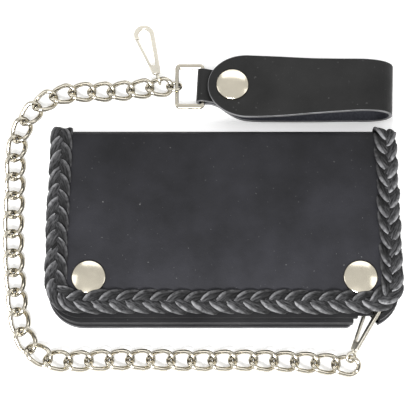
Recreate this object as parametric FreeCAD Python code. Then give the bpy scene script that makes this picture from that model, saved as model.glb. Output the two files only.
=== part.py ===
import FreeCAD, Part
import math
import os

# Chain wallet: a long leather snap wallet with a braided flap, a curb chain, and a leather belt strap.
# Millimetres. +X to the wallet's right, +Y towards the fold, +Z up. The wallet lies on its back on Z = 0,
# and the origin is the centre of the back's resting face.

V = FreeCAD.Vector
Z_UP = V(0, 0, 1)

# --- driving dimensions: the leather cover -------------------------------------------------------
WALLET_WIDTH = 178.0        # over the braid
LEATHER = 2.4               # cover leather
LINER = 1.2                 # thinner leather of the inside
COVER_GAP = 0.3             # free play at a leather hinge
FOLD_AXIS_Y = 47.6          # both fold lines, in the middle of the spine's leather
FLAP_UNDER_Z = 15.0         # underside of the closed flap
BACK_HALF_WIDTH = 88.8
BACK_BOTTOM_Y = -52.2
BACK_CORNER_R = 19.0
COVER_HALF_WIDTH = 86.5     # flap and spine, inside the braid

# --- the inside: gusset, divider, card slots, front pocket ---------------------------------------
DIVIDER_UNDER_Z = 7.6
GUSSET_BOTTOM_Y = -50.8
GUSSET_WIDTH = 3.0
POCKET_BOTTOM_Y = -49.0
POCKET_HALF_WIDTH = 87.3
POCKET_CORNER_R = 16.0
GUSSET_CORNER_R = 18.0
THUMB_R = 16.0              # of the dip at each card slot's mouth
THUMB_DEPTH = 4.0
SLOT_LEATHER = 1.1
FRONT_POCKET_LEATHER = 1.3
MOUTH_Y = {"divider": 43.0, "upper": 33.0, "lower": 20.0, "front": 6.0}

# --- braid -----------------------------------------------------------------------------------------
BRAID_WIDTH = 11.0
BRAID_HALF_HEIGHT = 2.9
BRAID_BOTTOM_Y = -47.6
BRAID_END_Y = 48.4
BRAID_OVERHANG = 2.4        # past the edge of the flap's leather
BRAID_CORNER_R = 16.0       # outside
BRAID_INNER_R = 5.0
BRAID_ROUNDING = 2.4

# --- ring snaps ------------------------------------------------------------------------------------
CAP_R = 8.5
CAP_HEIGHT = 2.7
CAP_RIM = 1.1               # height of the cap's upright side
CAP_EDGE_R = 0.7
SOCKET_R = 6.2
SOCKET_HEIGHT = 1.8
SOCKET_BORE_R = 3.0
SOCKET_ROOF = 0.4
SOCKET_EDGE_R = 0.5
STUD_FLANGE_R = 5.6
STUD_FLANGE = 0.6
STUD_R = 2.5
STUD_RISE = 2.2             # over the leather it is set in
STUD_NECK_R = 2.15
STUD_NECK_TOP = 1.2
STUD_BEAD = 0.4             # slope above the neck, and again at the stud's top
RIVET_R = 1.6
SEAT_MARGIN = 0.7           # leather left round a stud or an eyelet
SEAT_PLAY = 0.05
FLAP_SNAPS = [(-67.2, -29.8), (67.8, -29.8)]

# --- curb chain ------------------------------------------------------------------------------------
LINK_COUNT = 36
LINK_PITCH = 10.25
LINK_LENGTH = 15.3
LINK_WIDTH = 11.0
LINK_WIRE = 2.3
LINK_TWIST = math.radians(45.0)     # each end of a link is turned this far, in opposite senses
CHAIN_Z = 3.25                      # middle of the chain as it lies
CHAIN_ROUTE = [(65.8, -72.0), (45.0, -70.2), (14.0, -68.9), (-20.0, -68.9), (-54.0, -68.5), (-78.0, -69.4),
               (-90.0, -67.8), (-98.2, -61.2), (-102.4, -50.0), (-104.4, -38.0), (-106.2, -22.0), (-107.6, 2.0),
               (-107.6, 24.0), (-107.8, 42.0), (-104.8, 55.5), (-97.4, 66.4), (-86.5, 72.8), (-72.0, 74.4),
               (-52.0, 75.0), (-38.0, 76.8), (-20.0, 77.0)]

# --- spring clips ----------------------------------------------------------------------------------
CLIP_THICKNESS = 1.8
CLIP_BAND = 2.2
CLIP_REACH = 31.0           # eye centre to the middle of the nose's band
CLIP_HEAD_R = 5.4
CLIP_FOOT_R = 2.3
CLIP_FOOT_AT = 5.2
CLIP_GATE_LOW = 9.0
CLIP_GATE_HIGH = 25.2
CLIP_EDGE_R = 0.35
CLIP_HOLLOW_FOOT = (9.2, 0.9)  # place and radius of the low end of the hollow
CLIP_NECK_R = 1.1
CLIP_NECK_SINK = 1.2        # how far the eye's neck goes into the foot
CLIP_HOOK_AT = 30.3         # where the nose's band passes through the eyelet
GATE_PLAY = 0.25            # at the gate's ends and faces
GATE_INSET = 0.15
GATE_BAND = 1.2
EYE_RING_R = 2.5
EYE_WIRE_R = 0.7
GROMMET_HOLE_R = 4.2
GROMMET_FLANGE_R = 6.2
GROMMET_LIP = 0.4
CLIP_EXIT_X = (64.6, 78.0)  # where the clip crosses the bottom edge
CLIP_NOTCH_TOP_Y = -45.6    # of the notch for it in the back
CLIP_WINDOW = (66.5, -32.7) # inner corner of the cut-out for it in the card slots and front pocket
WALLET_CLIP_ROLL = -48.0     # the clip lies rolled over, one leg each side of the divider
WALLET_EYE_ALONG = 2.15     # past the middle of the first link, towards its free end
WALLET_CLIP_HEADING = 64.5
KEY_CLIP_HEADING = 107.7

# --- end ring, strap ring and belt strap -----------------------------------------------------------
END_RING_R = 3.6
END_RING_WIRE_R = 0.85
END_RING_LEAN = 38.0
RING_LENGTH = 15.6
RING_HEIGHT = 25.2
RING_THICKNESS = 1.9
RING_LEFT_BAR = 1.9
RING_RIGHT_BAR = 2.0
RING_SIDE_BAR = 2.7
RING_CORNER_R = 2.6
RING_HOLE_R = 0.9
RING_EDGE_R = 0.7
END_RING_TO_LINK = 1.35     # end ring's centre to the last link's end wire
END_RING_TO_BAR = 1.5       # and to the strap ring's left bar
STRAP_YAW = -3.0
STRAP_LEATHER = 1.8
TAB_LEATHER = 1.5
TAB_HALF_WIDTH = 9.2
TAB_END = 30.0
TAB_LOOP_R = 1.55
STRAP_SNAP_AT = 15.6        # from the ring bar, along the strap
STRAP_SNAP_UNDER_Z = 6.0    # underside of the upper leaf at the snap
STRAP_FOLD = (98.6, 9.3)    # fold line: distance along the strap and height
STRAP_FOLD_SEAT = 1.2       # how far under the fold line the lower leaf stops
STRAP_TIP = 2.6
STRAP_TIP_LENGTH = 21.0
STRAP_HALF_WIDTH = 17.4
STRAP_FOLD_HALF_WIDTH = 13.8


# --- small helpers ---------------------------------------------------------------------------------
def outline(x0, x1, y0, y1, r_low, r_high, z):
    """A rectangle's wire at height z, its low-Y corners rounded by r_low and its high-Y corners by r_high."""
    corners = [(x0, y0, r_low), (x1, y0, r_low), (x1, y1, r_high), (x0, y1, r_high)]
    edges, start, last = [], None, None
    for i, (x, y, r) in enumerate(corners):
        px, py, _ = corners[i - 1]
        nx, ny, _ = corners[(i + 1) % 4]
        into = V(x - px, y - py, 0).normalize()
        away = V(nx - x, ny - y, 0).normalize()
        a = V(x, y, z) - into * r
        b = V(x, y, z) + away * r
        if last is not None and last.distanceToPoint(a) > 1e-6:
            edges.append(Part.LineSegment(last, a).toShape())
        if r > 0:
            centre = V(x, y, z) - into * r + away * r
            middle = centre + (into - away) * (r / math.sqrt(2))
            edges.append(Part.Arc(a, middle, b).toShape())
        start = a if start is None else start
        last = b
    edges.append(Part.LineSegment(last, start).toShape())
    return Part.Wire(edges)


def plate(x0, x1, y0, y1, z0, z1, r_low=0.0, r_high=0.0):
    """A flat plate with rounded corners."""
    return Part.Face(outline(x0, x1, y0, y1, r_low, r_high, z0)).extrude(V(0, 0, z1 - z0))


def box(x0, x1, y0, y1, z0, z1):
    return Part.makeBox(x1 - x0, y1 - y0, z1 - z0, V(x0, y0, z0))


def disc(x, y, r, z0, z1):
    return Part.makeCylinder(r, z1 - z0, V(x, y, z0))


def revolve(profile):
    """A solid of revolution about Z from a closed list of (radius, height) points."""
    wire = Part.makePolygon([V(r, 0, z) for r, z in profile + profile[:1]])
    return Part.Face(wire).revolve(V(0, 0, 0), Z_UP, 360)


def save(name, shape):
    shape.exportStep("parts/%s.step" % name)
    print("%-20s %9.1f mm3  solids %d  valid %s" % (name, shape.Volume, len(shape.Solids), shape.isValid()))


# --- the leather cover -----------------------------------------------------------------------------
def back_panel():
    """The back of the cover, notched at the bottom where the chain's clip comes out."""
    panel = plate(-BACK_HALF_WIDTH, BACK_HALF_WIDTH, BACK_BOTTOM_Y, FOLD_AXIS_Y - LEATHER / 2 - COVER_GAP,
                  0, LEATHER, BACK_CORNER_R)
    return panel.cut(box(*CLIP_EXIT_X, BACK_BOTTOM_Y - 1, CLIP_NOTCH_TOP_Y, -1, LEATHER + 1))


def spine_fold():
    """The strip of cover that stands up at the fold, rounded at both of its fold lines."""
    r = LEATHER / 2
    low, high = r, FLAP_UNDER_Z + r
    strip = box(-COVER_HALF_WIDTH, COVER_HALF_WIDTH, FOLD_AXIS_Y - r, FOLD_AXIS_Y + r, low, high)
    for z in (low, high):
        roll = Part.makeCylinder(r, 2 * COVER_HALF_WIDTH, V(-COVER_HALF_WIDTH, FOLD_AXIS_Y, z), V(1, 0, 0))
        strip = strip.fuse(roll)
    return strip.removeSplitter()


def flap_plate():
    return plate(-COVER_HALF_WIDTH, COVER_HALF_WIDTH, BRAID_BOTTOM_Y + BRAID_OVERHANG,
                 FOLD_AXIS_Y - LEATHER / 2 - COVER_GAP, FLAP_UNDER_Z, FLAP_UNDER_Z + LEATHER,
                 BRAID_CORNER_R - BRAID_OVERHANG)


def front_flap():
    """The flap, pierced for the two snap rivets."""
    flap = flap_plate()
    for x, y in FLAP_SNAPS:
        flap = flap.cut(disc(x, y, RIVET_R, FLAP_UNDER_Z - 1, FLAP_UNDER_Z + LEATHER + 1))
    return flap


def flap_braid():
    """The lace braid round three edges of the flap, as one rounded band that the flap's edge sits in."""
    half = WALLET_WIDTH / 2
    middle = FLAP_UNDER_Z + LEATHER / 2
    low, high = middle - BRAID_HALF_HEIGHT, middle + BRAID_HALF_HEIGHT
    band = plate(-half, half, BRAID_BOTTOM_Y, BRAID_END_Y, low, high, BRAID_CORNER_R)
    band = band.cut(plate(-half + BRAID_WIDTH, half - BRAID_WIDTH, BRAID_BOTTOM_Y + BRAID_WIDTH,
                          BRAID_END_Y + 10, low - 1, high + 1, BRAID_INNER_R))
    rims = [e for e in band.Edges
            if abs(e.BoundBox.ZMax - e.BoundBox.ZMin) < 1e-6 and e.BoundBox.YMin < BRAID_END_Y - 1]
    band = band.makeFillet(BRAID_ROUNDING, rims)
    band = band.cut(flap_plate())
    band = band.cut(box(-half, half, FOLD_AXIS_Y - LEATHER / 2 - COVER_GAP, BRAID_END_Y + 1,
                        low - 1, FLAP_UNDER_Z + LEATHER + COVER_GAP))
    for x, y in FLAP_SNAPS:
        band = band.cut(disc(x, y, CAP_R + SEAT_PLAY, FLAP_UNDER_Z + LEATHER, high + 1))
        band = band.cut(disc(x, y, SOCKET_R + SEAT_PLAY, low - 1, FLAP_UNDER_Z))
    return band


# --- the inside ------------------------------------------------------------------------------------
def clip_window(z0, z1):
    """The cut-out that lets the clip reach the grommet through the layers above the divider."""
    x0, y1 = CLIP_WINDOW
    stud_seat = disc(*FLAP_SNAPS[1], STUD_FLANGE_R + SEAT_MARGIN, z0, z1)
    return box(x0, POCKET_HALF_WIDTH + 1, POCKET_BOTTOM_Y - 1, y1, z0, z1).cut(stud_seat)


def pocket_gusset(grommet):
    """The folded leather wall that joins the divider to the back on three sides, thinned under the eyelet."""
    outer = plate(-POCKET_HALF_WIDTH - 1, POCKET_HALF_WIDTH + 1, GUSSET_BOTTOM_Y, MOUTH_Y["divider"],
                  LEATHER, DIVIDER_UNDER_Z, GUSSET_CORNER_R)
    inner = plate(-POCKET_HALF_WIDTH - 1 + GUSSET_WIDTH, POCKET_HALF_WIDTH + 1 - GUSSET_WIDTH,
                  GUSSET_BOTTOM_Y + GUSSET_WIDTH, MOUTH_Y["divider"] + 5, LEATHER - 1, DIVIDER_UNDER_Z + 1,
                  GUSSET_CORNER_R - GUSSET_WIDTH)
    wall = outer.cut(inner)
    past_corner = GUSSET_BOTTOM_Y + 3 * GUSSET_WIDTH
    exit_gap = box(*CLIP_EXIT_X, GUSSET_BOTTOM_Y - 1, past_corner, LEATHER - 1, DIVIDER_UNDER_Z + 1)
    eyelet_seat = disc(grommet.x, grommet.y, GROMMET_FLANGE_R + SEAT_PLAY,
                       DIVIDER_UNDER_Z - GROMMET_LIP - SEAT_PLAY, DIVIDER_UNDER_Z + 1)
    return wall.cut([exit_gap, eyelet_seat])


def bill_divider(grommet):
    """The wall between the bill compartment and the card slots, holed for the chain's grommet."""
    wall = plate(-POCKET_HALF_WIDTH - 1, POCKET_HALF_WIDTH + 1, GUSSET_BOTTOM_Y, MOUTH_Y["divider"],
                 DIVIDER_UNDER_Z, DIVIDER_UNDER_Z + LINER, GUSSET_CORNER_R)
    margin = GROMMET_FLANGE_R + SEAT_MARGIN
    relief = box(CLIP_EXIT_X[0], grommet.x + margin, GUSSET_BOTTOM_Y - 1, grommet.y - margin, 0, 20)
    return wall.cut([relief, disc(grommet.x, grommet.y, GROMMET_HOLE_R + GROMMET_LIP, 0, 20)])


def card_slots(name, z0):
    """One tier of card slots: a full-width panel stitched down its middle, with a dip at each mouth."""
    top = MOUTH_Y[name]
    panel = plate(-POCKET_HALF_WIDTH, POCKET_HALF_WIDTH, POCKET_BOTTOM_Y, top, z0, z0 + SLOT_LEATHER,
                  POCKET_CORNER_R)
    for side in (-1, 1):
        panel = panel.cut(disc(side * POCKET_HALF_WIDTH / 2, top + THUMB_R - THUMB_DEPTH, THUMB_R,
                               z0 - 1, z0 + SLOT_LEATHER + 1))
    return panel.cut(clip_window(z0 - 1, z0 + SLOT_LEATHER + 1))


def pocket_front(z0):
    """The outermost pocket, which carries the snap studs."""
    panel = plate(-POCKET_HALF_WIDTH, POCKET_HALF_WIDTH, POCKET_BOTTOM_Y, MOUTH_Y["front"], z0,
                  z0 + FRONT_POCKET_LEATHER, POCKET_CORNER_R)
    for x, y in FLAP_SNAPS:
        panel = panel.cut(disc(x, y, RIVET_R, z0 - 1, z0 + FRONT_POCKET_LEATHER + 1))
    return panel.cut(clip_window(z0 - 1, z0 + FRONT_POCKET_LEATHER + 1))


def chain_grommet(centre):
    """A two-flanged eyelet through the divider."""
    z0, z1 = DIVIDER_UNDER_Z, DIVIDER_UNDER_Z + LINER
    hole, tube, flange = GROMMET_HOLE_R, GROMMET_HOLE_R + GROMMET_LIP, GROMMET_FLANGE_R
    eyelet = revolve([(hole, z0 - GROMMET_LIP), (flange, z0 - GROMMET_LIP), (flange, z0), (tube, z0),
                      (tube, z1), (flange, z1), (flange, z1 + GROMMET_LIP), (hole, z1 + GROMMET_LIP)])
    return eyelet.translated(V(centre.x, centre.y, 0))


# --- ring snaps, each about its own axis with z = 0 at the leather it is set in ---------------------
def snap_cap(leather):
    """The domed outer cap with the rivet that goes down through the leather."""
    dome_r = (CAP_R ** 2 + (CAP_HEIGHT - CAP_RIM) ** 2) / (2 * (CAP_HEIGHT - CAP_RIM))
    ball = Part.makeSphere(dome_r, V(0, 0, CAP_HEIGHT - dome_r))
    cap = Part.makeCylinder(CAP_R, CAP_HEIGHT).common(ball)
    rims = [e for e in cap.Edges if abs(e.BoundBox.ZMax - CAP_RIM) < 0.01 and e.BoundBox.ZMin > CAP_RIM - 0.01]
    cap = cap.makeFillet(CAP_EDGE_R, rims)
    return cap.fuse(Part.makeCylinder(RIVET_R, leather, V(0, 0, -leather))).removeSplitter()


def snap_socket():
    """The socket under the leather, with its mouth down."""
    shell = Part.makeCylinder(SOCKET_R, SOCKET_HEIGHT, V(0, 0, -SOCKET_HEIGHT))
    shell = shell.makeFillet(SOCKET_EDGE_R, [e for e in shell.Edges if e.BoundBox.ZMax < -SOCKET_HEIGHT + 0.01])
    return shell.cut(Part.makeCylinder(SOCKET_BORE_R, SOCKET_HEIGHT - SOCKET_ROOF, V(0, 0, -SOCKET_HEIGHT)))


def snap_stud(leather):
    """The stud that faces the socket, with its rivet down through the leather."""
    return revolve([(0, -leather), (RIVET_R, -leather), (RIVET_R, 0), (STUD_FLANGE_R, 0),
                    (STUD_FLANGE_R, STUD_FLANGE), (STUD_NECK_R, STUD_FLANGE), (STUD_NECK_R, STUD_NECK_TOP),
                    (STUD_R, STUD_NECK_TOP + STUD_BEAD), (STUD_R, STUD_RISE - STUD_BEAD),
                    (STUD_R - STUD_BEAD, STUD_RISE), (0, STUD_RISE)])


def at_flap_snaps(shape, z):
    return Part.makeCompound([shape.translated(V(x, y, z)) for x, y in FLAP_SNAPS])


# --- curb chain ------------------------------------------------------------------------------------
def chain_joints():
    """The points where link meets link: equal steps of one pitch along the chain's smooth route."""
    curve = Part.BSplineCurve()
    curve.interpolate([V(x, y, CHAIN_Z) for x, y in CHAIN_ROUTE])
    at = curve.FirstParameter
    joints = [curve.value(at)]
    while len(joints) <= LINK_COUNT:
        low, high = at, min(at + 0.2 * (curve.LastParameter - curve.FirstParameter), curve.LastParameter)
        for _ in range(50):
            middle = (low + high) / 2
            if curve.value(middle).distanceToPoint(joints[-1]) < LINK_PITCH:
                low = middle
            else:
                high = middle
        at = high
        joints.append(curve.value(at))
    return joints


def curb_link():
    """One link along X: a round-ended oval of round wire, twisted about its length so links lie flat."""
    wire_r = LINK_WIRE / 2
    end_r = LINK_WIDTH / 2 - wire_r
    half_straight = LINK_LENGTH / 2 - wire_r - end_r
    reach = half_straight + end_r
    flat = []
    for side in (1, -1):
        for step in range(2):
            flat.append((side * half_straight * (1 - step), side * end_r))
        for step in range(6):
            angle = math.radians(30 * step)
            flat.append((-side * (half_straight + end_r * math.sin(angle)), side * end_r * math.cos(angle)))
    points = []
    for x, y in flat:
        turn = LINK_TWIST * x / reach
        points.append(V(x, y * math.cos(turn), y * math.sin(turn)))
    curve = Part.BSplineCurve()
    curve.interpolate(Points=points, PeriodicFlag=True)
    first, last = curve.FirstParameter, curve.LastParameter
    halves = []
    for a, b in ((first, (first + last) / 2), ((first + last) / 2, last)):
        ring = Part.Wire(Part.makeCircle(wire_r, curve.value(a), curve.tangent(a)[0]))
        halves.append(Part.Wire(curve.toShape(a, b)).makePipeShell([ring], True, False))
    return halves[0].fuse(halves[1]).Solids[0]


def place_link(link, a, b):
    """The link moved so that its length lies on the line from joint a to joint b."""
    heading = math.degrees(math.atan2(b.y - a.y, b.x - a.x))
    placed = link.copy()
    placed.Placement = FreeCAD.Placement((a + b) / 2, FreeCAD.Rotation(Z_UP, heading))
    return placed


def rail_point(a, b, along):
    """A point on the wallet-side rail of the link from joint a to joint b, along from the link's middle."""
    heading = (b - a).normalize()
    left = V(-heading.y, heading.x, 0)
    turn = LINK_TWIST * along / (LINK_LENGTH / 2 - LINK_WIRE / 2)
    rail = LINK_WIDTH / 2 - LINK_WIRE / 2
    return (a + b) / 2 + heading * along + left * (rail * math.cos(turn)) + V(0, 0, rail * math.sin(turn))


# --- spring clips: local +Y from the eye to the nose, the flat of the clip in the local XY plane -----
def capsule(y0, r0, y1, r1, half_thickness):
    """A prism whose outline is two circles on the Y axis joined by their outer tangents."""
    lean = math.asin((r1 - r0) / (y1 - y0))
    c, s = math.cos(lean), math.sin(lean)
    z = -half_thickness
    low_right, low_left = V(r0 * c, y0 - r0 * s, z), V(-r0 * c, y0 - r0 * s, z)
    high_right, high_left = V(r1 * c, y1 - r1 * s, z), V(-r1 * c, y1 - r1 * s, z)
    edges = [Part.Arc(low_left, V(0, y0 - r0, z), low_right).toShape(),
             Part.LineSegment(low_right, high_right).toShape(),
             Part.Arc(high_right, V(0, y1 + r1, z), high_left).toShape(),
             Part.LineSegment(high_left, low_left).toShape()]
    return Part.Face(Part.Wire(edges)).extrude(V(0, 0, 2 * half_thickness))


def clip_head_at():
    return CLIP_REACH - CLIP_HEAD_R + CLIP_BAND / 2


def clip_body():
    """The clip's frame: an eye across its foot, a spine up its right side and a hooked nose."""
    half = CLIP_THICKNESS / 2
    head = clip_head_at()
    frame = capsule(CLIP_FOOT_AT, CLIP_FOOT_R, head, CLIP_HEAD_R, half)
    hollow = capsule(*CLIP_HOLLOW_FOOT, head, CLIP_HEAD_R - CLIP_BAND, half + 1)
    frame = frame.cut(hollow)
    frame = frame.cut(box(-CLIP_HEAD_R - 1, 0, CLIP_GATE_LOW, CLIP_GATE_HIGH, -half - 1, half + 1))
    frame = frame.makeFillet(CLIP_EDGE_R, [e for e in frame.Edges if e.BoundBox.ZMax - e.BoundBox.ZMin < 1e-6])
    eye = Part.makeTorus(EYE_RING_R, EYE_WIRE_R, V(0, 0, 0), V(1, 0, 0))
    foot_bottom = CLIP_FOOT_AT - CLIP_FOOT_R
    neck_length = foot_bottom + CLIP_NECK_SINK - EYE_RING_R
    neck = Part.makeCone(EYE_WIRE_R, CLIP_NECK_R, neck_length, V(0, EYE_RING_R, 0), V(0, 1, 0))
    return frame.fuse([eye, neck]).removeSplitter()


def clip_gate():
    """The springy strip that closes the clip's left side."""
    half = CLIP_THICKNESS / 2 - GATE_PLAY
    head = clip_head_at()
    inner = GATE_INSET + GATE_BAND
    side = capsule(CLIP_FOOT_AT, CLIP_FOOT_R - GATE_INSET, head, CLIP_HEAD_R - GATE_INSET, half)
    side = side.cut(capsule(CLIP_FOOT_AT, CLIP_FOOT_R - inner, head, CLIP_HEAD_R - inner, half + 1))
    low, high = CLIP_GATE_LOW + GATE_PLAY, CLIP_GATE_HIGH - GATE_PLAY
    return side.common(box(-CLIP_HEAD_R - 1, 0, low, high, -half, half))


def clip_placement(eye, heading, lift, roll):
    """Puts a clip's eye at a point, pointing along heading, nose raised by lift, rolled about its length."""
    turn = FreeCAD.Rotation(Z_UP, heading - 90).multiply(FreeCAD.Rotation(V(1, 0, 0), lift))
    return FreeCAD.Placement(eye, turn.multiply(FreeCAD.Rotation(V(0, 1, 0), roll)))


def placed(shape, placement):
    moved = shape.copy()
    moved.Placement = placement.multiply(moved.Placement)
    return moved


# --- end ring, strap ring and strap ----------------------------------------------------------------
def end_ring(centre):
    lean = math.radians(END_RING_LEAN)
    return Part.makeTorus(END_RING_R, END_RING_WIRE_R, centre, V(0, math.sin(lean), math.cos(lean)))


def strap_ring():
    """The flat rectangular ring, about the middle of its right bar, that joins the chain to the strap."""
    half = RING_THICKNESS / 2
    x1, x0 = RING_RIGHT_BAR / 2, RING_RIGHT_BAR / 2 - RING_LENGTH
    y1 = RING_HEIGHT / 2
    ring = plate(x0, x1, -y1, y1, -half, half, RING_CORNER_R, RING_CORNER_R)
    ring = ring.cut(plate(x0 + RING_LEFT_BAR, x1 - RING_RIGHT_BAR, -y1 + RING_SIDE_BAR, y1 - RING_SIDE_BAR,
                          -half - 1, half + 1, RING_HOLE_R, RING_HOLE_R))
    return ring.makeFillet(RING_EDGE_R, [e for e in ring.Edges if e.BoundBox.ZMax - e.BoundBox.ZMin < 1e-6])


def ribbon(points, thickness, half_width):
    """A strip of leather: its side view's centre line thickened, then extruded across."""
    curve = Part.BSplineCurve()
    curve.interpolate([V(x, 0, z) for x, z in points])
    steps = 6 * len(points)
    over, under = [], []
    for i in range(steps + 1):
        at = curve.FirstParameter + (curve.LastParameter - curve.FirstParameter) * i / steps
        along = curve.tangent(at)[0]
        normal = V(-along.z, 0, along.x) * (thickness / 2)
        over.append(curve.value(at) + normal)
        under.append(curve.value(at) - normal)
    sides = []
    for line in (over, under[::-1]):
        side = Part.BSplineCurve()
        side.interpolate(line)
        sides.append(side.toShape())
    ends = [Part.LineSegment(over[-1], under[-1]).toShape(), Part.LineSegment(under[0], over[0]).toShape()]
    profile = Part.Wire([sides[0], ends[0], sides[1], ends[1]])
    return Part.Face(profile).extrude(V(0, 2 * half_width, 0)).translated(V(0, -half_width, 0))


def strap_plan(side):
    """The strap's outline from above, from the points of one long side, mirrored to make the other."""
    end = side[-1][0]
    rails = []
    for sign in (1, -1):
        rail = Part.BSplineCurve()
        rail.interpolate([V(x, sign * y, -5) for x, y in side])
        rails.append(rail.toShape())
    edges = [rails[0], Part.LineSegment(V(end, side[-1][1], -5), V(end, -side[-1][1], -5)).toShape(), rails[1]]
    if side[0][1] > 0:
        start = side[0][0]
        edges.append(Part.LineSegment(V(start, -side[0][1], -5), V(start, side[0][1], -5)).toShape())
    return Part.Face(Part.Wire(edges)).extrude(V(0, 0, 40))


def upper_side():
    """Half the upper leaf's outline: a half-ellipse tip, widest past the snap, narrowing to the fold."""
    tip = []
    for degrees in range(0, 91, 15):
        a = math.radians(degrees)
        tip.append((STRAP_TIP + STRAP_TIP_LENGTH * (1 - math.cos(a)), STRAP_HALF_WIDTH * math.sin(a)))
    return tip + [(40.0, 16.8), (60.0, 15.4), (80.0, 14.5), (STRAP_FOLD[0] + 4, STRAP_FOLD_HALF_WIDTH)]


def lower_side():
    """Half the lower leaf's outline: it widens from the tab in a smooth shoulder."""
    return [(5.0, TAB_HALF_WIDTH), (9.0, 10.6), (14.0, 13.8), (20.0, 16.6), (27.0, STRAP_HALF_WIDTH), (40.0, 17.0),
            (60.0, 16.0), (80.0, 14.7), (STRAP_FOLD[0] + 4, STRAP_FOLD_HALF_WIDTH)]


def strap_lower(bar_z):
    """The lower leaf with its turned-up fold end, and the tab that loops round the ring's bar."""
    lie = STRAP_LEATHER / 2
    leaf = ribbon([(5.0, lie), (30.0, lie), (60.0, lie), (84.0, lie + 0.05), (91.5, 1.9), (96.2, 4.4),
                   (98.4, STRAP_FOLD[1] - STRAP_FOLD_SEAT)], STRAP_LEATHER, 25)
    leaf = leaf.common(strap_plan(lower_side()))
    outer = TAB_LOOP_R + TAB_LEATHER
    tab = Part.makeCylinder(outer, 2 * TAB_HALF_WIDTH, V(0, -TAB_HALF_WIDTH, bar_z), V(0, 1, 0))
    top = STRAP_LEATHER + TAB_LEATHER
    sides = [V(0.6, 0, bar_z + outer - 0.06), V(9.0, 0, top), V(TAB_END, 0, top), V(TAB_END, 0, STRAP_LEATHER),
             V(9.0, 0, STRAP_LEATHER), V(8.0, 0, bar_z - outer), V(0.0, 0, bar_z - outer)]
    wedge = Part.Face(Part.makePolygon(sides + sides[:1])).extrude(V(0, 2 * TAB_HALF_WIDTH, 0))
    tab = tab.fuse(wedge.translated(V(0, -TAB_HALF_WIDTH, 0)))
    tab = tab.cut(Part.makeCylinder(TAB_LOOP_R, 40, V(0, -20, bar_z), V(0, 1, 0)))
    leaf = leaf.fuse(tab).removeSplitter()
    return leaf.cut(disc(STRAP_SNAP_AT, 0, RIVET_R, -1, top + 1))


def strap_upper():
    """The upper leaf, from its rounded snap end over the top of the open fold."""
    fold_x, fold_z = STRAP_FOLD
    snap_z = STRAP_SNAP_UNDER_Z + STRAP_LEATHER / 2
    leaf = ribbon([(STRAP_TIP - 3, snap_z + 0.2), (8.0, snap_z), (STRAP_SNAP_AT, snap_z), (24.0, snap_z),
                   (34.0, 7.8), (50.0, 10.2), (70.0, 14.2), (84.0, 16.9), (92.0, 16.3), (97.2, 12.9),
                   (fold_x, fold_z)], STRAP_LEATHER, 25)
    leaf = leaf.fuse(Part.makeCylinder(STRAP_LEATHER / 2, 50, V(fold_x, -25, fold_z), V(0, 1, 0)))
    leaf = leaf.common(strap_plan(upper_side())).removeSplitter()
    top = STRAP_SNAP_UNDER_Z + STRAP_LEATHER
    cap_seat = disc(STRAP_SNAP_AT, 0, CAP_R + SEAT_PLAY, top, top + 5)
    socket_seat = disc(STRAP_SNAP_AT, 0, SOCKET_R + SEAT_PLAY, 0, STRAP_SNAP_UNDER_Z)
    return leaf.cut([cap_seat, socket_seat, disc(STRAP_SNAP_AT, 0, RIVET_R, 4, 9)])


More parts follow.
